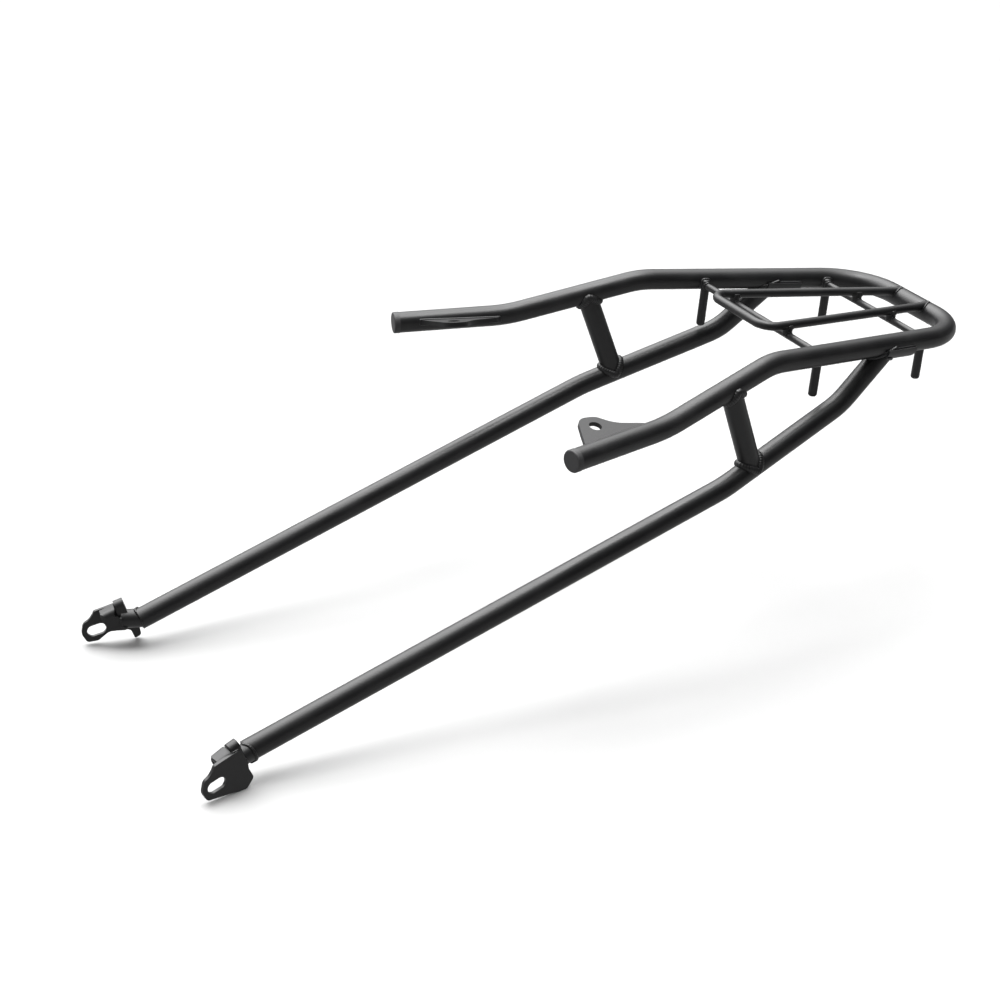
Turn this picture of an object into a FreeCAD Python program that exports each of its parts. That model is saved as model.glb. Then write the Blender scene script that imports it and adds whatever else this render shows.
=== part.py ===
import FreeCAD, Part
import math
import os

# Welded tube luggage rack. +X points to the rear, +Y to the right, +Z up, square to the platform.
# The origin lies on the centre line of the rear bar, half way between the two sides.

V = FreeCAD.Vector
doc = FreeCAD.newDocument("luggage_rack")
sheet = doc.addObject("Spreadsheet::Sheet", "Dimensions")

DRIVING = {
    # stock
    "tube_diameter": 19, "tube_wall": 2, "rod_diameter": 8, "crossbar_diameter": 6.5,
    "plate_thick": 3, "tab_thick": 4,
    # platform: the rails run forward from the rear bar and spread apart
    "platform_length": 231, "rail_spread_rear": 158, "rail_spread_front": 226, "rear_corner_bend": 54,
    # arms: each rail drops and flares out to its front end
    "arm_knee_reach": 350, "arm_knee_spread": 286, "arm_knee_drop": 37, "arm_knee_bend": 150,
    "arm_end_reach": 447, "arm_end_spread": 334.5, "arm_end_drop": 46.5, "arm_root_bend": 75,
    # stays: from under each rail, down and forward to the lower bracket
    "stay_top_reach": 94, "stay_elbow_reach": 144, "stay_elbow_spread": 201, "stay_elbow_drop": 49,
    "stay_elbow_bend": 60, "stay_knee_reach": 271.5, "stay_knee_spread": 252.5, "stay_knee_drop": 105.5,
    "stay_knee_bend": 90, "stay_end_reach": 698.5, "stay_end_spread": 251.5, "stay_end_drop": 294,
    # struts: short tubes between each arm and its stay
    "strut_arm_share": 0.6, "strut_stay_reach": 242,
    # saddle over the top end of each stay, hugging the underside of the rail
    "saddle_thick": 3.2, "saddle_reach": 71, "saddle_length": 34,
    # rods of the platform
    "hoop_height": 6, "hoop_reach": 195.5, "hoop_spread_front": 94, "hoop_spread_rear": 42,
    "hoop_bend": 15, "bar_drop": 3, "post_diameter": 9,
    "front_bar_reach": 169.5, "rear_bar_reach": 45, "peg_inset": 10,
    "peg_bottom": 42, "peg_top": 2.5, "peg_dome": 2.5,
    # caps in the open ends of the arms
    "cap_diameter": 19.6, "cap_length": 5.5, "cap_edge": 1.5, "cap_plug_length": 12,
    # tabs on the arm ends
    "tab_hole_reach": 410, "tab_hole_spread": 261, "tab_hole_drop": 34.8, "tab_hole_diameter": 11,
    "tab_tip_radius": 12.5, "tab_slope": 14,
    # slotted brackets at the lower ends of the stays
    "slot_reach": 730.5, "slot_spread": 292.5, "slot_drop": 308.5, "slot_long": 17.5, "slot_wide": 10.5,
    "slot_tilt": 19.5, "bracket_yaw": 11.4, "bracket_width": 16.5, "bracket_crest": 27.5,
    "channel_fold": 5, "channel_depth": 26, "channel_length": 60,
    "lug_reach": 18.2, "lug_depth": 7.5, "lug_rise": 25.8, "lug_radius": 5.8, "lug_thick": 8.5, "lug_foot": 13,
    "spigot_diameter": 17, "spigot_start": 20.5, "spigot_lean": 9, "spigot_rise": 13, "spigot_shift": 0.8,
}

for row, (alias, value) in enumerate(DRIVING.items(), start=1):
    sheet.set("A%d" % row, alias)
    sheet.set("B%d" % row, str(value))
    sheet.setAlias("B%d" % row, alias)
doc.recompute()

SIDES = {"left": -1, "right": 1}
FINISHED = []


def size(alias):
    """A driving dimension, read from the sheet."""
    return float(sheet.get(alias))


def finish(item, label):
    """Name a finished sub-part and remember it for the export."""
    item.Label = label
    FINISHED.append(item)
    return item


def unit(vector):
    return V(vector).normalize()


def rounded_wire(points, bends, closed=False):
    """Straight runs through the points, joined by tangent arcs of the given bend radii.

    An open wire has one radius for each inner point; a closed one has one for each point.
    """
    count = len(points)
    corners = range(count) if closed else range(1, count - 1)
    entry = {}
    leave = {}
    middle = {}
    for corner, bend in zip(corners, bends):
        here = points[corner]
        back = unit(points[corner - 1] - here)
        ahead = unit(points[(corner + 1) % count] - here)
        half_turn = (math.pi - back.getAngle(ahead)) / 2
        entry[corner] = here + back * (bend * math.tan(half_turn))
        leave[corner] = here + ahead * (bend * math.tan(half_turn))
        centre = here + unit(back + ahead) * (bend / math.cos(half_turn))
        middle[corner] = centre + unit(here - centre) * bend
    edges = []
    last = count if closed else count - 1
    for start in range(last):
        end = (start + 1) % count
        edges.append(Part.LineSegment(leave.get(start, points[start]), entry.get(end, points[end])).toShape())
        if end in entry:
            edges.append(Part.Arc(entry[end], middle[end], leave[end]).toShape())
    return Part.Wire(Part.__sortEdges__(edges))


def add_wire(name, wire):
    item = doc.addObject("Part::Feature", name)
    item.Shape = wire
    return item


def sweep_circle(name, path, radius_rule):
    """A round bar along a wire; its radius follows an expression on the sheet."""
    first = path.Shape.OrderedEdges[0]
    start = first.valueAt(first.FirstParameter)
    if (start - path.Shape.OrderedVertexes[0].Point).Length > 1e-6:
        start = first.valueAt(first.LastParameter)
    heading = unit(first.tangentAt(first.FirstParameter))
    circle = doc.addObject("Part::Circle", name + "_section")
    circle.setExpression("Radius", radius_rule)
    circle.Placement = FreeCAD.Placement(start, FreeCAD.Rotation(V(0, 0, 1), heading))
    bar = doc.addObject("Part::Sweep", name)
    bar.Sections = [circle]
    bar.Spine = (path, ["Edge%d" % (index + 1) for index in range(len(path.Shape.Edges))])
    bar.Solid = True
    bar.Frenet = False
    return bar


def cut(name, base, tools):
    """The base with each tool taken away in turn."""
    result = base
    for index, tool in enumerate(tools):
        step = doc.addObject("Part::Cut", "%s_cut_%d" % (name, index))
        step.Base = result
        step.Tool = tool
        result = step
    doc.recompute()
    return result


def extrude(name, wire, direction, length_rule):
    """A flat outline pushed along a direction by a length from the sheet."""
    outline = add_wire(name + "_outline", wire)
    block = doc.addObject("Part::Extrusion", name)
    block.Base = outline
    block.DirMode = "Custom"
    block.Dir = direction
    block.LengthFwd = 1
    block.setExpression("LengthFwd", length_rule)
    block.Solid = True
    return block


def rail_half(reach):
    """Half the distance between the rails' centre lines, this far ahead of the rear bar."""
    rear = size("rail_spread_rear") / 2
    front = size("rail_spread_front") / 2
    return rear + (front - rear) * reach / size("platform_length")


def corner(side, reach_alias, spread_alias, drop_alias):
    """A point of a bent tube's centre line on one side of the rack."""
    return V(-size(reach_alias), side * size(spread_alias) / 2, -size(drop_alias))


OUTER = "Dimensions.tube_diameter / 2"
BORE = "Dimensions.tube_diameter / 2 - Dimensions.tube_wall"
ROD = "Dimensions.rod_diameter / 2"
CROSSBAR = "Dimensions.crossbar_diameter / 2"


# ---- main tube: one piece, from the left arm end round the rear bar to the right arm end ----

def arm_points(side):
    """Centre line of one half of the main tube, from the arm's end to the rear corner."""
    return [
        corner(side, "arm_end_reach", "arm_end_spread", "arm_end_drop"),
        corner(side, "arm_knee_reach", "arm_knee_spread", "arm_knee_drop"),
        V(-size("platform_length"), side * size("rail_spread_front") / 2, 0),
        V(0, side * size("rail_spread_rear") / 2, 0),
    ]


arm_bends = [size("arm_knee_bend"), size("arm_root_bend"), size("rear_corner_bend")]
main_path = add_wire("main_path", rounded_wire(
    arm_points(-1) + arm_points(1)[::-1], arm_bends + arm_bends[::-1]))
main_solid = sweep_circle("main_solid", main_path, OUTER)
main_bore = sweep_circle("main_bore", main_path, BORE)
doc.recompute()
finish(cut("main_tube", main_solid, [main_bore]), "main_tube")


# ---- stays and struts ----

def stay_points(side):
    """Centre line of a stay, from the bracket end up to the middle of the rail."""
    top = size("stay_top_reach")
    return [
        corner(side, "stay_end_reach", "stay_end_spread", "stay_end_drop"),
        corner(side, "stay_knee_reach", "stay_knee_spread", "stay_knee_drop"),
        corner(side, "stay_elbow_reach", "stay_elbow_spread", "stay_elbow_drop"),
        V(-top, side * rail_half(top), 0),
    ]


def make_stay(name, side):
    """A bent tube that ends under the rail."""
    path = add_wire(name + "_path", rounded_wire(
        stay_points(side), [size("stay_knee_bend"), size("stay_elbow_bend")]))
    solid = sweep_circle(name + "_solid", path, OUTER)
    bore = sweep_circle(name + "_bore", path, BORE)
    doc.recompute()
    finish(cut(name, solid, [bore, main_solid]), name)
    return solid


def make_saddle(name, side, stay_solid):
    """A half sleeve that hugs the underside of the rail over the end of the stay."""
    rear = size("saddle_reach")
    heel = V(-rear, side * rail_half(rear), 0)
    forward = unit(arm_points(side)[2] - heel)
    sleeve = doc.addObject("Part::Cylinder", name + "_sleeve")
    sleeve.setExpression("Radius", "Dimensions.tube_diameter / 2 + Dimensions.saddle_thick")
    sleeve.setExpression("Height", "Dimensions.saddle_length")
    sleeve.Placement = FreeCAD.Placement(heel, FreeCAD.Rotation(V(0, 0, 1), forward))
    below = doc.addObject("Part::Box", name + "_below")
    below.setExpression("Length", "Dimensions.saddle_length * 2")
    below.setExpression("Width", "Dimensions.tube_diameter * 4")
    below.setExpression("Height", "Dimensions.tube_diameter")
    below.Placement = FreeCAD.Placement(
        heel - V(1.5 * size("saddle_length"), 2 * size("tube_diameter"), size("tube_diameter") + 1),
        FreeCAD.Rotation())
    lower_half = doc.addObject("Part::Common", name + "_lower_half")
    lower_half.Base = sleeve
    lower_half.Tool = below
    doc.recompute()
    return finish(cut(name, lower_half, [main_solid, stay_solid]), name)


def make_strut(name, side, stay_solid):
    """A straight tube between arm and stay, its ends coped to both."""
    knee = arm_points(side)[1]
    root = arm_points(side)[2]
    upper = knee + (root - knee) * size("strut_arm_share")
    low_end = stay_points(side)[1]
    elbow = stay_points(side)[2]
    share = (size("stay_knee_reach") - size("strut_stay_reach")) / (elbow.x - low_end.x)
    lower = low_end + (elbow - low_end) * share
    path = add_wire(name + "_path", Part.Wire([Part.LineSegment(upper, lower).toShape()]))
    solid = sweep_circle(name + "_solid", path, OUTER)
    bore = sweep_circle(name + "_bore", path, BORE)
    doc.recompute()
    return finish(cut(name, solid, [bore, main_solid, stay_solid]), name)


stay_solids = {}
for word, side in SIDES.items():
    stay_solids[word] = make_stay("stay_" + word, side)
    make_saddle("stay_saddle_" + word, side, stay_solids[word])
    make_strut("strut_" + word, side, stay_solids[word])


# ---- rods of the platform ----

def make_rod_hoop():
    """The inner hoop: a U of rod lying on the crossbars, its ends welded to the rear bar."""
    height = size("hoop_height")
    front = size("hoop_reach")
    points = [
        V(0, -size("hoop_spread_rear") / 2, height),
        V(-front, -size("hoop_spread_front") / 2, height),
        V(-front, size("hoop_spread_front") / 2, height),
        V(0, size("hoop_spread_rear") / 2, height),
    ]
    path = add_wire("rod_hoop_path", rounded_wire(points, [size("hoop_bend")] * 2))
    rod = sweep_circle("rod_hoop_solid", path, ROD)
    doc.recompute()
    return finish(cut("rod_hoop", rod, [main_solid]), "rod_hoop")


def peg_place(reach, side):
    return V(-reach, side * (rail_half(reach) - size("peg_inset")), -size("peg_bottom"))


def make_peg(name, reach, side):
    """A short upright rod with domed ends, notched into the inner side of the rail."""
    rod = doc.addObject("Part::Cylinder", name + "_rod")
    rod.setExpression("Radius", ROD)
    rod.setExpression("Height", "Dimensions.peg_bottom + Dimensions.peg_top")
    rod.Placement = FreeCAD.Placement(peg_place(reach, side), FreeCAD.Rotation())
    doc.recompute()
    domed = doc.addObject("Part::Fillet", name + "_domed")
    domed.Base = rod
    dome = size("peg_dome")
    rims = [index + 1 for index, edge in enumerate(rod.Shape.Edges) if edge.Closed]
    domed.Edges = [(index, dome, dome) for index in rims]
    doc.recompute()
    finish(cut(name, domed, [main_solid]), name)
    return domed


def make_crossbar(name, reach, pegs):
    """A straight rod under the hoop, from peg to peg."""
    height = -size("bar_drop")
    ends = [peg_place(reach, side) for side in (-1, 1)]
    line = Part.LineSegment(V(ends[0].x, ends[0].y, height), V(ends[1].x, ends[1].y, height))
    rod = sweep_circle(name + "_solid", add_wire(name + "_path", Part.Wire([line.toShape()])), CROSSBAR)
    doc.recompute()
    return finish(cut(name, rod, pegs), name)


def make_post(name, reach, side, hoop_rod, crossbar):
    """A short upright spacer where the hoop passes over a crossbar."""
    front = size("hoop_reach")
    spread = size("hoop_spread_rear") + (size("hoop_spread_front") - size("hoop_spread_rear")) * reach / front
    stub = doc.addObject("Part::Cylinder", name + "_stub")
    stub.setExpression("Radius", "Dimensions.post_diameter / 2")
    stub.setExpression("Height", "Dimensions.hoop_height + Dimensions.bar_drop")
    stub.Placement = FreeCAD.Placement(V(-reach, side * spread / 2, -size("bar_drop")), FreeCAD.Rotation())
    doc.recompute()
    return finish(cut(name, stub, [hoop_rod, crossbar]), name)


rod_hoop = make_rod_hoop()
for place in ("front", "rear"):
    reach = size(place + "_bar_reach")
    pegs = [make_peg("peg_%s_%s" % (place, word), reach, side) for word, side in SIDES.items()]
    crossbar = make_crossbar("crossbar_" + place, reach, pegs)
    for word, side in SIDES.items():
        make_post("post_%s_%s" % (place, word), reach, side, rod_hoop, crossbar)


# ---- caps in the arm ends ----

def make_cap(name, side):
    """A plastic plug: a round head against the tube's end and a stem in its bore."""
    end, knee = arm_points(side)[:2]
    inward = unit(knee - end)
    turn = FreeCAD.Rotation(V(0, 0, 1), inward)
    head = doc.addObject("Part::Cylinder", name + "_head")
    head.setExpression("Radius", "Dimensions.cap_diameter / 2")
    head.setExpression("Height", "Dimensions.cap_length")
    head.Placement = FreeCAD.Placement(end - inward * size("cap_length"), turn)
    stem = doc.addObject("Part::Cylinder", name + "_stem")
    stem.setExpression("Radius", BORE)
    stem.setExpression("Height", "Dimensions.cap_plug_length")
    stem.Placement = FreeCAD.Placement(end, turn)
    doc.recompute()
    rounded = doc.addObject("Part::Fillet", name + "_rounded")
    rounded.Base = head
    edge = size("cap_edge")
    outer = min((rim for rim in enumerate(head.Shape.Edges) if rim[1].Closed),
                key=lambda rim: (rim[1].CenterOfMass - knee).Length * -1)
    rounded.Edges = [(outer[0] + 1, edge, edge)]
    cap = doc.addObject("Part::Fuse", name + "_whole")
    cap.Base = rounded
    cap.Tool = stem
    doc.recompute()
    return finish(cap, name)


# ---- tabs on the arm ends ----

def make_tab(name, side):
    """A plate on the inner side of the arm, rising towards the middle, with a bolt hole."""
    hole = V(-size("tab_hole_reach"), side * size("tab_hole_spread") / 2, -size("tab_hole_drop"))
    tilt = math.radians(size("tab_slope"))
    outboard = V(0, side * math.cos(tilt), -math.sin(tilt))
    normal = V(0, side * math.sin(tilt), math.cos(tilt))
    tip = size("tab_tip_radius")

    def on_plate(rearward, outward):
        return hole + V(rearward, 0, 0) + outboard * outward

    outline = [
        on_plate(-23, 29), on_plate(-16.5, 6), on_plate(-11, -tip * 0.96), on_plate(6, -tip * 1.04),
        on_plate(19, -2), on_plate(46, 2), on_plate(56, 12), on_plate(54, 20),
    ]
    bends = [2, 14, 11, 11, 30, 8, 4, 2]
    plate = extrude(name + "_plate", rounded_wire(outline, bends, closed=True), normal * -1,
                    "Dimensions.tab_thick")
    drill = doc.addObject("Part::Cylinder", name + "_drill")
    drill.setExpression("Radius", "Dimensions.tab_hole_diameter / 2")
    drill.setExpression("Height", "Dimensions.tab_thick * 3")
    drill.Placement = FreeCAD.Placement(hole - normal * (2 * size("tab_thick")),
                                        FreeCAD.Rotation(V(0, 0, 1), normal))
    doc.recompute()
    return finish(cut(name, plate, [main_solid, drill]), name)


# ---- lower brackets: drawn with +X rearward along the plate, +Y outboard and +Z up ----

EAR_TOP = [(-3.6, 18), (-4.6, 14.5), (-7.5, 9.6), (-12.5, 6), (-13.5, -4), (-8, -12.2)]
EAR_TOP_BENDS = [3, 6, 12, 6, 8, 4]
LOWER_EDGE = {
    "left": [(29.5, -11), (35.5, -2), (30, 7)],
    "right": [(2, -10.5), (11, -2.2), (30, -0.4), (34.5, -9.5), (40, -6), (37, 5)],
}
LOWER_BENDS = {"left": [4, 4, 8], "right": [6, 8, 4, 1.5, 3, 6]}
REAR_TOP = [(28.5, 13), (19.5, 26.8)]
REAR_TOP_BENDS = [5, 3]
LEG_OUTLINE = [(6.5, 8.5), (9, 5), (24, 5.5), (24, 14.5), (12.8, 19), (12.8, 40), (1, 40), (1, 17)]
LEG_BENDS = [2, 3, 1, 3, 1, 0.5, 0.5, 3]
PLAN_OUTLINE = [(0.5, -5), (40, -5), (40, 16.5), (0.5, 16.5)]
PLAN_BENDS = [0.5, 0.5, 0.5, 7]


def bracket_point(side, across, pair):
    """A point of the bracket in its own frame; across is measured inwards from its outer face."""
    return V(pair[0], -side * across, pair[1])


def make_bracket(word, side, stay_solid):
    name = "stay_bracket_" + word
    place = FreeCAD.Placement(
        V(-size("slot_reach"), side * size("slot_spread") / 2, -size("slot_drop")),
        FreeCAD.Rotation(V(0, 0, 1), -side * size("bracket_yaw")))
    inward = V(0, -side, 0)
    thick = size("plate_thick")

    # outer plate with its slot
    outline = [bracket_point(side, 0, pair) for pair in EAR_TOP + LOWER_EDGE[word] + REAR_TOP]
    plate = extrude(name + "_plate", rounded_wire(
        outline, EAR_TOP_BENDS + LOWER_BENDS[word] + REAR_TOP_BENDS, closed=True),
        inward, "Dimensions.plate_thick")
    half = size("slot_long") / 2 - size("slot_wide") / 2
    radius = size("slot_wide") / 2
    slot_wire = Part.Wire([
        Part.LineSegment(V(-half, 0, radius), V(half, 0, radius)).toShape(),
        Part.Arc(V(half, 0, radius), V(half + radius, 0, 0), V(half, 0, -radius)).toShape(),
        Part.LineSegment(V(half, 0, -radius), V(-half, 0, -radius)).toShape(),
        Part.Arc(V(-half, 0, -radius), V(-half - radius, 0, 0), V(-half, 0, radius)).toShape(),
    ])
    slot_wire.rotate(V(0, 0, 0), V(0, -1, 0), size("slot_tilt"))
    slot_wire.translate(inward * -thick)
    slot = extrude(name + "_slot", slot_wire, inward, "Dimensions.plate_thick * 3")

    # folded channel behind it: an upturned U that rises with the crest
    crest = V(math.cos(math.radians(size("bracket_crest"))), 0, math.sin(math.radians(size("bracket_crest"))))
    up = V(-crest.z, 0, crest.x)
    start = V(-3.6, 0, 17) - crest * 12
    width = size("bracket_width")
    fold = size("channel_fold")
    deep = size("channel_depth")

    def ring(inset):
        return rounded_wire([
            start + inward * inset - up * deep,
            start + inward * inset - up * inset,
            start + inward * (width - inset) - up * inset,
            start + inward * (width - inset) - up * deep,
        ], [fold - inset, fold - inset])

    skin_edges = ring(0).Edges + ring(thick).Edges
    skin_edges.append(Part.LineSegment(start - up * deep, start + inward * thick - up * deep).toShape())
    skin_edges.append(Part.LineSegment(start + inward * width - up * deep,
                                       start + inward * (width - thick) - up * deep).toShape())
    channel = doc.addObject("Part::Extrusion", name + "_channel")
    channel.Base = add_wire(name + "_section", Part.Wire(Part.__sortEdges__(skin_edges)))
    channel.DirMode = "Custom"
    channel.Dir = crest
    channel.setExpression("LengthFwd", "Dimensions.channel_length")
    channel.Solid = True
    window = extrude(name + "_window", rounded_wire(
        [bracket_point(side, 0, pair) for pair in LEG_OUTLINE], LEG_BENDS, closed=True),
        inward, "Dimensions.bracket_width")
    plan = extrude(name + "_plan", rounded_wire(
        [V(pair[0], -side * pair[1], -20) for pair in PLAN_OUTLINE], PLAN_BENDS, closed=True),
        V(0, 0, 1), "Dimensions.bracket_width * 4")
    trimmed_channel = doc.addObject("Part::Common", name + "_trimmed_channel")
    trimmed_channel.Base = channel
    trimmed_channel.Tool = plan
    leg = doc.addObject("Part::Common", name + "_leg")
    leg.Base = trimmed_channel
    leg.Tool = window
    folded = doc.addObject("Part::Fuse", name + "_folded")
    folded.Base = plate
    folded.Tool = leg
    doc.recompute()
    bracket = cut(name, folded, [slot])
    bracket.Placement = place
    doc.recompute()

    # round-topped lug standing across the rear end of the channel, square to the stay
    tube_end, tube_next = stay_points(side)[:2]
    along = unit(tube_next - tube_end)
    local_along = place.Rotation.inverted().multVec(along)
    flat_along = unit(V(local_along.x, 0, local_along.z))
    lug_up = V(-flat_along.z, 0, flat_along.x)
    radius = size("lug_radius")
    middle = V(size("lug_reach"), -side * size("lug_depth"), size("lug_rise"))
    crown = middle - flat_along * (size("lug_thick") / 2)
    foot = crown - lug_up * size("lug_foot")
    across = inward * radius
    lug_wire = Part.Wire([
        Part.LineSegment(foot - across, crown - across).toShape(),
        Part.Arc(crown - across, crown + lug_up * radius, crown + across).toShape(),
        Part.LineSegment(crown + across, foot + across).toShape(),
        Part.LineSegment(foot + across, foot - across).toShape(),
    ])
    lug_block = extrude(name + "_lug", lug_wire, flat_along, "Dimensions.lug_thick")
    lug_block.Placement = place
    doc.recompute()
    lug = cut("bracket_lug_" + word, lug_block, [bracket])

    # spigot between the lug and the stay
    far_end = tube_end + along * 4 + V(0, side * size("spigot_shift"), -size("spigot_shift"))
    near_end = place.multVec(V(size("spigot_start"), -side * size("spigot_lean"), size("spigot_rise")))
    heading = far_end - near_end
    rod = doc.addObject("Part::Cylinder", name + "_spigot_rod")
    rod.setExpression("Radius", "Dimensions.spigot_diameter / 2")
    rod.Height = heading.Length
    rod.Placement = FreeCAD.Placement(near_end, FreeCAD.Rotation(V(0, 0, 1), unit(heading)))
    doc.recompute()
    spigot = cut("spigot_" + word, rod, [stay_solid, lug_block, bracket])

    # the outer plate gives way to the stay
    trimmed = cut(name + "_trim", bracket, [stay_solid])
    finish(trimmed, name)
    finish(lug, "bracket_lug_" + word)
    finish(spigot, "spigot_" + word)


for word, side in SIDES.items():
    make_cap("end_cap_" + word, side)
    make_tab("arm_tab_" + word, side)
    make_bracket(word, side, stay_solids[word])


# ---- checks and export ----

doc.recompute()
failed = [item.Name for item in doc.Objects if "Invalid" in item.State or "Error" in item.State]
if failed:
    raise RuntimeError("failed: " + ", ".join(failed))
for item in FINISHED:
    if item.Shape.isNull() or not item.Shape.isValid() or not item.Shape.Solids:
        raise RuntimeError("bad shape: " + item.Label)

os.makedirs("parts", exist_ok=True)
for item in FINISHED:
    item.Shape.exportStep("parts/%s.step" % item.Label)
    box = item.Shape.BoundBox
    print("%-22s solids %d volume %9.1f  x %.1f %.1f  y %.1f %.1f  z %.1f %.1f" % (
        item.Label, len(item.Shape.Solids), item.Shape.Volume,
        box.XMin, box.XMax, box.YMin, box.YMax, box.ZMin, box.ZMax))
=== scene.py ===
"""A welded, black coated motorcycle luggage rack on a plain white studio floor."""
import math
import random

import bmesh
import bpy
from mathutils import Matrix, Vector
from mathutils.bvhtree import BVHTree


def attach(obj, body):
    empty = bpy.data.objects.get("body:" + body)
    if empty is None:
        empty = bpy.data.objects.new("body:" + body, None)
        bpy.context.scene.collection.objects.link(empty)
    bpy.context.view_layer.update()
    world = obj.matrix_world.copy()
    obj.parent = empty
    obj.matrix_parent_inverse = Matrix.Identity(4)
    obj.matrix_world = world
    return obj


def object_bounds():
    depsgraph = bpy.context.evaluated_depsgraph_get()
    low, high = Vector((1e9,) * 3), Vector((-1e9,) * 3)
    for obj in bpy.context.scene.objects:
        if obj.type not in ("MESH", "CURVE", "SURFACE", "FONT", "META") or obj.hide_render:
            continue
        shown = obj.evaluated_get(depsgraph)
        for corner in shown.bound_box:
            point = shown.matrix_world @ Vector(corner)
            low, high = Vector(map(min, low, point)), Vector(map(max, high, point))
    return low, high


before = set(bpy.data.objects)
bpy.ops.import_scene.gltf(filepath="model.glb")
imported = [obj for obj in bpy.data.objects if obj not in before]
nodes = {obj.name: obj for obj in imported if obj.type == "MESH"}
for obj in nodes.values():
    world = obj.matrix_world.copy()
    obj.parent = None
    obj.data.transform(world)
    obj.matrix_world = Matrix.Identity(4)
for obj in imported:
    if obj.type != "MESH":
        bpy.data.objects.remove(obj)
cad_low, cad_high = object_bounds()
random.seed(7)

SIDES = ("left", "right")
PLACES = ("front", "rear")


# ---- materials ----

# the part of a noise's range that holds nearly all its values
NOISE_LOW = 0.3
NOISE_HIGH = 0.7


def grey(level):
    return (level, level, level, 1)


def new_material(name):
    """A node material with a Principled shader; returns the material, its nodes, links and shader."""
    material = bpy.data.materials.new(name)
    material.use_nodes = True
    tree = material.node_tree
    return material, tree.nodes, tree.links, tree.nodes["Principled BSDF"]


def noise(tree_nodes, links, scale, detail, where, distortion=0.0):
    """A noise in the object's own space."""
    texture = tree_nodes.new("ShaderNodeTexNoise")
    texture.inputs["Scale"].default_value = scale
    texture.inputs["Detail"].default_value = detail
    texture.inputs["Distortion"].default_value = distortion
    links.new(where.outputs["Object"], texture.inputs["Vector"])
    return texture


def ramp(tree_nodes, links, source, stops):
    """A colour ramp over a value; stops are (position, colour)."""
    node = tree_nodes.new("ShaderNodeValToRGB")
    node.color_ramp.elements[0].position, node.color_ramp.elements[0].color = stops[0]
    node.color_ramp.elements[1].position, node.color_ramp.elements[1].color = stops[-1]
    for position, colour in stops[1:-1]:
        node.color_ramp.elements.new(position).color = colour
    links.new(source, node.inputs["Fac"])
    return node


def spread(tree_nodes, links, source, low, high):
    """Maps a noise's factor to a range of values."""
    node = tree_nodes.new("ShaderNodeMapRange")
    node.inputs["From Min"].default_value = NOISE_LOW
    node.inputs["From Max"].default_value = NOISE_HIGH
    node.inputs["To Min"].default_value = low
    node.inputs["To Max"].default_value = high
    links.new(source, node.inputs["Value"])
    return node


def bump(tree_nodes, links, height, strength, distance, below=None):
    """A bump from a height, laid over the bump below where there is one."""
    node = tree_nodes.new("ShaderNodeBump")
    node.inputs["Strength"].default_value = strength
    node.inputs["Distance"].default_value = distance
    links.new(height, node.inputs["Height"])
    if below is not None:
        links.new(below.outputs["Normal"], node.inputs["Normal"])
    return node


def powder_coat():
    """Satin black powder coat: fine orange peel, faint mottling and a few dust specks."""
    material, tree_nodes, links, shader = new_material("black_powder_coat")
    where = tree_nodes.new("ShaderNodeTexCoord")
    cloud = noise(tree_nodes, links, 35, 4, where, 0.4)
    peel = noise(tree_nodes, links, 620, 2, where)
    grain = noise(tree_nodes, links, 2600, 3, where)
    tone = ramp(tree_nodes, links, cloud.outputs["Fac"], [
        (0.30, (0.0070, 0.0070, 0.0074, 1)),
        (0.55, (0.0090, 0.0090, 0.0094, 1)),
        (0.75, (0.0120, 0.0120, 0.0125, 1)),
    ])
    dust = ramp(tree_nodes, links, grain.outputs["Fac"], [(0.68, grey(0)), (0.80, grey(0.35))])
    mix = tree_nodes.new("ShaderNodeMix")
    mix.data_type = "RGBA"
    mix.inputs["B"].default_value = (0.045, 0.045, 0.046, 1)
    links.new(dust.outputs["Color"], mix.inputs["Factor"])
    links.new(tone.outputs["Color"], mix.inputs["A"])
    links.new(mix.outputs["Result"], shader.inputs["Base Color"])
    rough = spread(tree_nodes, links, cloud.outputs["Fac"], 0.36, 0.46)
    links.new(rough.outputs["Result"], shader.inputs["Roughness"])
    low = bump(tree_nodes, links, peel.outputs["Fac"], 0.22, 0.00035)
    fine = bump(tree_nodes, links, grain.outputs["Fac"], 0.10, 0.00012, low)
    links.new(fine.outputs["Normal"], shader.inputs["Normal"])
    shader.inputs["Specular IOR Level"].default_value = 0.28
    shader.inputs["Coat Weight"].default_value = 0.08
    shader.inputs["Coat Roughness"].default_value = 0.3
    return material


def moulded_plastic():
    """Dull black moulded plastic with a fine spark-eroded grain."""
    material, tree_nodes, links, shader = new_material("black_moulded_plastic")
    where = tree_nodes.new("ShaderNodeTexCoord")
    cloud = noise(tree_nodes, links, 60, 3, where)
    grain = noise(tree_nodes, links, 1900, 4, where)
    tone = ramp(tree_nodes, links, cloud.outputs["Fac"], [
        (0.35, (0.016, 0.016, 0.017, 1)),
        (0.65, (0.024, 0.024, 0.025, 1)),
    ])
    links.new(tone.outputs["Color"], shader.inputs["Base Color"])
    rough = spread(tree_nodes, links, cloud.outputs["Fac"], 0.50, 0.62)
    links.new(rough.outputs["Result"], shader.inputs["Roughness"])
    fine = bump(tree_nodes, links, grain.outputs["Fac"], 0.35, 0.00015)
    links.new(fine.outputs["Normal"], shader.inputs["Normal"])
    shader.inputs["Specular IOR Level"].default_value = 0.4
    return material


coat = powder_coat()
plastic = moulded_plastic()
for name, node in nodes.items():
    finish_of_node = plastic if name.startswith("end_cap") else coat
    if not node.material_slots:
        node.data.materials.append(finish_of_node)
    for used in node.material_slots:
        used.material = finish_of_node


# ---- weld beads, laid where one piece's edge meets its neighbour ----

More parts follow.
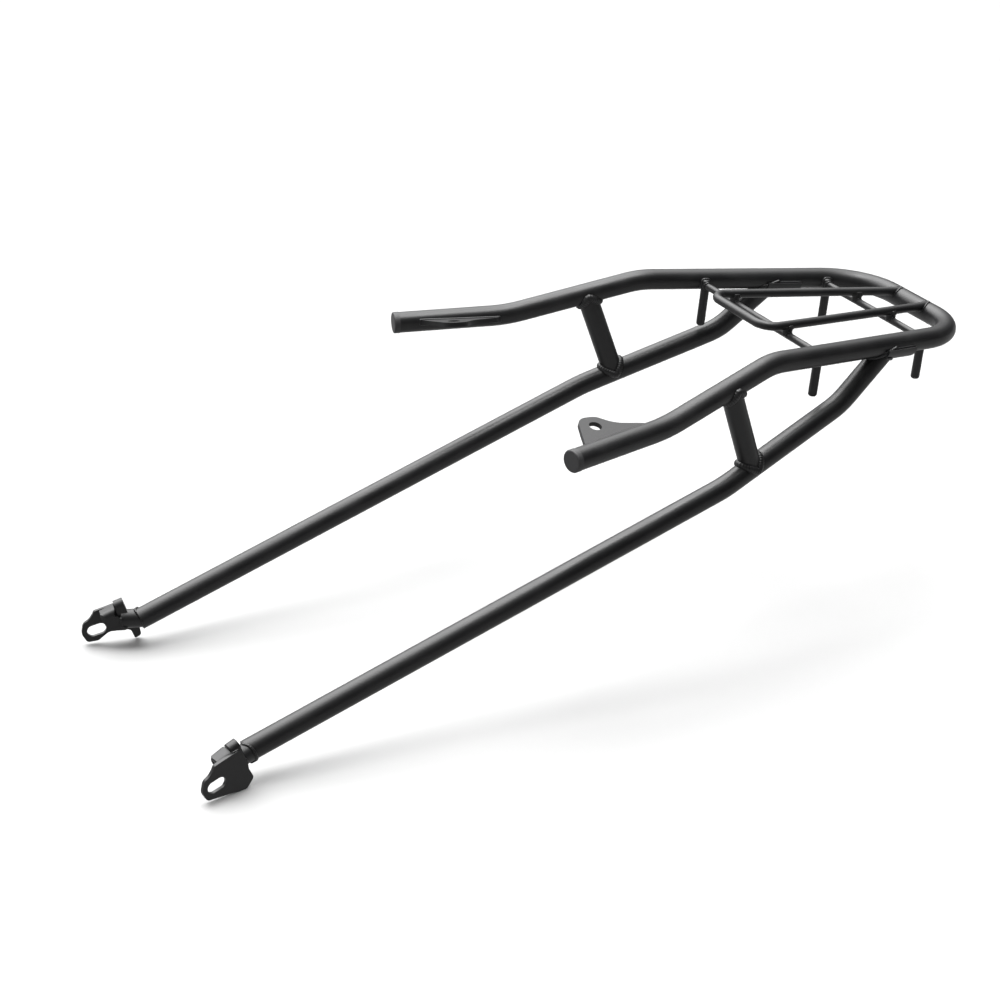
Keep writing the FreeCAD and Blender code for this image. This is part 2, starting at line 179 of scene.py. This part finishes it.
# lengths in metres
CONTACT = 0.00012
DOUBLED = 2e-6
SHORTEST_WELD = 0.004
BEAD_STEP = 0.00045
RIPPLE_LENGTH = 0.0019
WANDER_LENGTH = 7 * RIPPLE_LENGTH

# shares of a bead's radius: the valleys between its ripples, their height, and its slow wander
VALLEY = 0.92
RIPPLE_HEIGHT = 0.12
RIPPLE_POWER = 0.6
WANDER = 0.05

# an open bead starts small and grows by this share at each step
END_SIZE = 0.35
END_GROWTH = 0.2

BEAD_SIDES = 12
FEWEST_STEPS = 8
SMOOTHING = 3
STRUT_SMOOTHING = 24

# the least length of a bead, as a share of the longest one of its weld
WHOLE_LOOPS = 0.85
MOST_LOOPS = 0.5
BROKEN_LOOPS = 0.3


def merged(node):
    """A copy of a node's mesh with its doubled corners joined."""
    mesh = bmesh.new()
    mesh.from_mesh(node.data)
    bmesh.ops.remove_doubles(mesh, verts=mesh.verts, dist=DOUBLED)
    return mesh


def contact_loops(piece, neighbour):
    """The chains of edges where the piece's surface leaves its neighbour's."""
    mesh = merged(nodes[piece])
    other = merged(nodes[neighbour])
    tree = BVHTree.FromBMesh(other)

    def touches(point):
        return tree.find_nearest(point, CONTACT)[0] is not None

    resting = {face: touches(face.calc_center_median()) and all(touches(v.co) for v in face.verts)
               for face in mesh.faces}
    border = [edge for edge in mesh.edges
              if len(edge.link_faces) == 2 and resting[edge.link_faces[0]] != resting[edge.link_faces[1]]]
    links = {}
    unused = set()
    for edge in border:
        first, second = edge.verts
        links.setdefault(first.index, []).append(second.index)
        links.setdefault(second.index, []).append(first.index)
        unused.add(frozenset((first.index, second.index)))
    place = {v.index: v.co.copy() for v in mesh.verts}
    chains = []
    while unused:
        ends = [v for v in sorted(links) if sum(frozenset((v, w)) in unused for w in links[v]) == 1]
        start = ends[0] if ends else min(min(pair) for pair in unused)
        chain = [start]
        while True:
            onward = [w for w in sorted(links[chain[-1]]) if frozenset((chain[-1], w)) in unused]
            if not onward:
                break
            unused.discard(frozenset((chain[-1], onward[0])))
            chain.append(onward[0])
        chains.append([place[i] for i in chain])
    mesh.free()
    other.free()
    return chains


def length_of(points):
    return sum((b - a).length for a, b in zip(points, points[1:]))


def resampled(points, step, smoothing):
    """The chain with evenly spaced points, smoothed a little, and whether it is closed."""
    total = length_of(points)
    count = max(FEWEST_STEPS, round(total / step))
    spaced, walked, index = [], 0.0, 0
    for k in range(count + 1):
        target = total * k / count
        while index < len(points) - 2 and walked + (points[index + 1] - points[index]).length < target:
            walked += (points[index + 1] - points[index]).length
            index += 1
        piece = points[index + 1] - points[index]
        part = (target - walked) / piece.length if piece.length else 0
        spaced.append(points[index] + piece * min(max(part, 0), 1))
    closed = (spaced[0] - spaced[-1]).length < step
    if closed:
        spaced.pop()
    fixed_ends = 0 if closed else 1
    for _ in range(smoothing):
        before = spaced[:]
        for k in range(fixed_ends, len(spaced) - fixed_ends):
            spaced[k] = before[k] * 0.5 + (before[k - 1] + before[(k + 1) % len(before)]) * 0.25
    return spaced, closed


def bead_rings(mesh, centre_line, closed, radius):
    """The rings of corners round a bead's centre line."""
    count = len(centre_line)
    phase = random.uniform(0, math.tau)
    rings = []
    side = None
    for k, point in enumerate(centre_line):
        ahead = centre_line[(k + 1) % count] if closed or k < count - 1 else point
        behind = centre_line[k - 1] if closed or k else point
        along = (ahead - behind).normalized()
        if side is None:
            side = along.orthogonal().normalized()
        side = (side - along * side.dot(along)).normalized()
        up = along.cross(side)
        travelled = k * BEAD_STEP
        ripple = 0.5 + 0.5 * math.cos(math.tau * travelled / RIPPLE_LENGTH + phase)
        wander = WANDER * math.sin(travelled / WANDER_LENGTH + phase)
        fade = 1.0 if closed else min(1.0, END_SIZE + END_GROWTH * min(k, count - 1 - k))
        size = radius * fade * (VALLEY + RIPPLE_HEIGHT * ripple ** RIPPLE_POWER + wander)
        ring = []
        for j in range(BEAD_SIDES):
            angle = math.tau * j / BEAD_SIDES
            ring.append(mesh.verts.new(point + (side * math.cos(angle) + up * math.sin(angle)) * size))
        rings.append(ring)
    return rings


def lay_bead(mesh, points, radius, smoothing):
    """Sweeps a rippled round bead along the points into the mesh."""
    centre_line, closed = resampled(points, BEAD_STEP, smoothing)
    count = len(centre_line)
    rings = bead_rings(mesh, centre_line, closed, radius)
    # the last ring of a closed bead meets the first at its nearest corner
    shift = 0
    if closed:
        shift = min(range(BEAD_SIDES), key=lambda s: (rings[-1][0].co - rings[0][s].co).length)
    for k in range(count if closed else count - 1):
        a, b = rings[k], rings[(k + 1) % count]
        turn = shift if k == count - 1 else 0
        for j in range(BEAD_SIDES):
            mesh.faces.new((a[j], a[(j + 1) % BEAD_SIDES],
                            b[(j + 1 + turn) % BEAD_SIDES], b[(j + turn) % BEAD_SIDES]))
    if not closed:
        mesh.faces.new(rings[0][::-1])
        mesh.faces.new(rings[-1])


def weld(name, piece, neighbour, radius, keep=WHOLE_LOOPS, smoothing=SMOOTHING):
    """One weld: beads along the longest border loops between two touching pieces."""
    chains = [chain for chain in contact_loops(piece, neighbour) if length_of(chain) > SHORTEST_WELD]
    longest = max(length_of(chain) for chain in chains)
    mesh = bmesh.new()
    for chain in chains:
        if length_of(chain) >= keep * longest:
            lay_bead(mesh, chain, radius, smoothing)
    bmesh.ops.recalc_face_normals(mesh, faces=mesh.faces)
    data = bpy.data.meshes.new(name)
    mesh.to_mesh(data)
    mesh.free()
    data.polygons.foreach_set("use_smooth", [True] * len(data.polygons))
    bead = bpy.data.objects.new(name, data)
    bpy.context.collection.objects.link(bead)
    data.materials.append(coat)
    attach(bead, "root")


# radii of the beads in metres, by the joint that they make
STRUT_BEAD = 0.0036
STAY_BEAD = 0.0022
SADDLE_BEAD = 0.0015
ROUND_BEAD = 0.0014
CROSSBAR_BEAD = 0.0012
THIN_BEAD = 0.0011
LUG_BEAD = 0.0010
POST_BEAD = 0.0008

for word in SIDES:
    weld("weld_strut_top_" + word, "strut_" + word, "main_tube", STRUT_BEAD, smoothing=STRUT_SMOOTHING)
    weld("weld_strut_foot_" + word, "strut_" + word, "stay_" + word, STRUT_BEAD, smoothing=STRUT_SMOOTHING)
    weld("weld_stay_" + word, "stay_" + word, "main_tube", STAY_BEAD)
    weld("weld_saddle_" + word, "stay_saddle_" + word, "main_tube", ROUND_BEAD)
    weld("weld_saddle_stay_" + word, "stay_saddle_" + word, "stay_" + word, SADDLE_BEAD, keep=MOST_LOOPS)
    weld("weld_tab_" + word, "arm_tab_" + word, "main_tube", THIN_BEAD)
    weld("weld_spigot_" + word, "spigot_" + word, "stay_" + word, ROUND_BEAD)
    weld("weld_bracket_" + word, "spigot_" + word, "stay_bracket_" + word, ROUND_BEAD, keep=BROKEN_LOOPS)
    weld("weld_lug_" + word, "bracket_lug_" + word, "stay_bracket_" + word, LUG_BEAD, keep=BROKEN_LOOPS)
    for place in PLACES:
        spot = place + "_" + word
        weld("weld_peg_" + spot, "peg_" + spot, "main_tube", ROUND_BEAD)
        weld("weld_crossbar_" + spot, "crossbar_" + place, "peg_" + spot, CROSSBAR_BEAD)
        weld("weld_post_foot_" + spot, "post_" + spot, "crossbar_" + place, POST_BEAD)
        weld("weld_post_head_" + spot, "post_" + spot, "rod_hoop", POST_BEAD)
weld("weld_hoop", "rod_hoop", "main_tube", THIN_BEAD)


# ---- studio ----

# the floor rises rearwards by the tilt, in radians, from a line across the rack at the pivot, where it
# lies the gap below the rack's lowest point; sizes in metres
FLOOR_TILT = -0.11
FLOOR_PIVOT = -0.735
FLOOR_GAP = 0.0027
FLOOR_REACH = 14
FLOOR_TONES = (0.325, 0.335)

WALL_RADIUS = 13
WALL_FOOT = -6
WALL_TOP = 14
WALL_SEGMENTS = 96

SKY_LIGHT_FROM = (-0.15, 0.50, 0.85)
SKY_STOPS = [(0.30, 0.05), (0.60, 0.40), (0.82, 4.2), (1.0, 11.5)]
SKY_UNDERNEATH = 0.65

SOFTBOX_PLACE = (-0.35, 0.05, 1.6)
SOFTBOX_TARGET = (-0.35, 0, 0)
SOFTBOX_SIZE = 0.8
SOFTBOX_WATTS = 26

EYE = Vector((-1.4223, -1.7547, 0.6895))
LOOKING = Vector((0.4587, 0.8007, -0.3854))
UPWARD = Vector((0.0958, 0.3866, 0.9173))
SENSOR_WIDTH = 36
LENS_IN_SENSOR_WIDTHS = 2.498
FARTHEST_SEEN = 60


def floor_plane():
    """A large white floor, turned by the tilt about the axis across the rack."""
    mesh = bpy.data.meshes.new("studio_floor")
    corners = [Vector((x * FLOOR_REACH, y * FLOOR_REACH, 0)) for x, y in ((-1, -1), (1, -1), (1, 1), (-1, 1))]
    mesh.from_pydata(corners, [], [(0, 1, 2, 3)])
    plane = bpy.data.objects.new("studio_floor", mesh)
    bpy.context.collection.objects.link(plane)
    pivot = Vector((FLOOR_PIVOT, 0, cad_low.z - FLOOR_GAP))
    plane.matrix_world = Matrix.Translation(pivot) @ Matrix.Rotation(FLOOR_TILT, 4, "Y")
    material, tree_nodes, links, shader = new_material("studio_white")
    where = tree_nodes.new("ShaderNodeTexCoord")
    cloud = noise(tree_nodes, links, 2, 2, where)
    darker, lighter = FLOOR_TONES
    tone = ramp(tree_nodes, links, cloud.outputs["Fac"],
                [(NOISE_LOW, grey(darker)), (NOISE_HIGH, grey(lighter))])
    links.new(tone.outputs["Color"], shader.inputs["Base Color"])
    shader.inputs["Roughness"].default_value = 0.9
    shader.inputs["Specular IOR Level"].default_value = 0.1
    mesh.materials.append(material)
    plane.visible_glossy = False


def backdrop():
    """A ring of white wall far behind everything; it is seen but neither lights nor mirrors in the rack."""
    turns = [math.tau * k / WALL_SEGMENTS for k in range(WALL_SEGMENTS)]
    corners = [Vector((WALL_RADIUS * math.cos(turn), WALL_RADIUS * math.sin(turn), height))
               for height in (WALL_FOOT, WALL_TOP) for turn in turns]
    faces = [(k, (k + 1) % WALL_SEGMENTS, WALL_SEGMENTS + (k + 1) % WALL_SEGMENTS, WALL_SEGMENTS + k)
             for k in range(WALL_SEGMENTS)]
    mesh = bpy.data.meshes.new("studio_backdrop")
    mesh.from_pydata(corners, [], faces)
    wall = bpy.data.objects.new("studio_backdrop", mesh)
    bpy.context.collection.objects.link(wall)
    material, *_, shader = new_material("studio_backdrop_white")
    shader.inputs["Base Color"].default_value = grey(0)
    shader.inputs["Emission Color"].default_value = grey(1)
    shader.inputs["Emission Strength"].default_value = 1.0
    mesh.materials.append(material)
    wall.visible_diffuse = False
    wall.visible_glossy = False
    wall.visible_shadow = False


def softbox():
    """A square lamp over the rack."""
    data = bpy.data.lights.new("softbox_over", "AREA")
    data.shape = "RECTANGLE"
    data.size = SOFTBOX_SIZE
    data.size_y = SOFTBOX_SIZE
    data.energy = SOFTBOX_WATTS
    lamp = bpy.data.objects.new("softbox_over", data)
    bpy.context.collection.objects.link(lamp)
    lamp.location = SOFTBOX_PLACE
    lamp.rotation_euler = (Vector(SOFTBOX_TARGET) - Vector(SOFTBOX_PLACE)).to_track_quat("-Z", "Y").to_euler()


def world_light(towards, stops, underneath):
    """A grey sky brightest in one direction; stops are (cosine of the angle from it, strength).
    What mirrors from below the horizon has the strength underneath."""
    world = bpy.data.worlds.new("studio")
    bpy.context.scene.world = world
    world.use_nodes = True
    tree = world.node_tree
    background = tree.nodes["Background"]
    where = tree.nodes.new("ShaderNodeTexCoord")
    aim = tree.nodes.new("ShaderNodeVectorMath")
    aim.operation = "DOT_PRODUCT"
    aim.inputs[1].default_value = Vector(towards).normalized()
    tree.links.new(where.outputs["Generated"], aim.inputs[0])
    top = stops[-1][1]
    grade = ramp(tree.nodes, tree.links, aim.outputs["Value"],
                 [(cosine, grey(level / top)) for cosine, level in stops])
    split = tree.nodes.new("ShaderNodeSeparateXYZ")
    tree.links.new(where.outputs["Generated"], split.inputs["Vector"])
    lower = tree.nodes.new("ShaderNodeMath")
    lower.operation = "LESS_THAN"
    lower.inputs[1].default_value = 0.0
    tree.links.new(split.outputs["Z"], lower.inputs[0])
    mix = tree.nodes.new("ShaderNodeMix")
    mix.data_type = "RGBA"
    mix.inputs["B"].default_value = grey(underneath / top)
    tree.links.new(lower.outputs["Value"], mix.inputs["Factor"])
    tree.links.new(grade.outputs["Color"], mix.inputs["A"])
    tree.links.new(mix.outputs["Result"], background.inputs["Color"])
    background.inputs["Strength"].default_value = top


def place_camera():
    """The camera at the eye, looking along its line with its upper edge upward."""
    ahead = LOOKING.normalized()
    across = ahead.cross(UPWARD).normalized()
    lens = bpy.data.cameras.new("camera")
    lens.sensor_width = SENSOR_WIDTH
    lens.lens = LENS_IN_SENSOR_WIDTHS * SENSOR_WIDTH
    lens.clip_end = FARTHEST_SEEN
    camera = bpy.data.objects.new("camera", lens)
    bpy.context.collection.objects.link(camera)
    turned = Matrix((across, across.cross(ahead), -ahead)).transposed()
    camera.matrix_world = Matrix.Translation(EYE) @ turned.to_4x4()
    bpy.context.scene.camera = camera


floor_plane()
backdrop()
world_light(SKY_LIGHT_FROM, SKY_STOPS, SKY_UNDERNEATH)
softbox()
place_camera()
bpy.context.scene.view_settings.view_transform = "Standard"
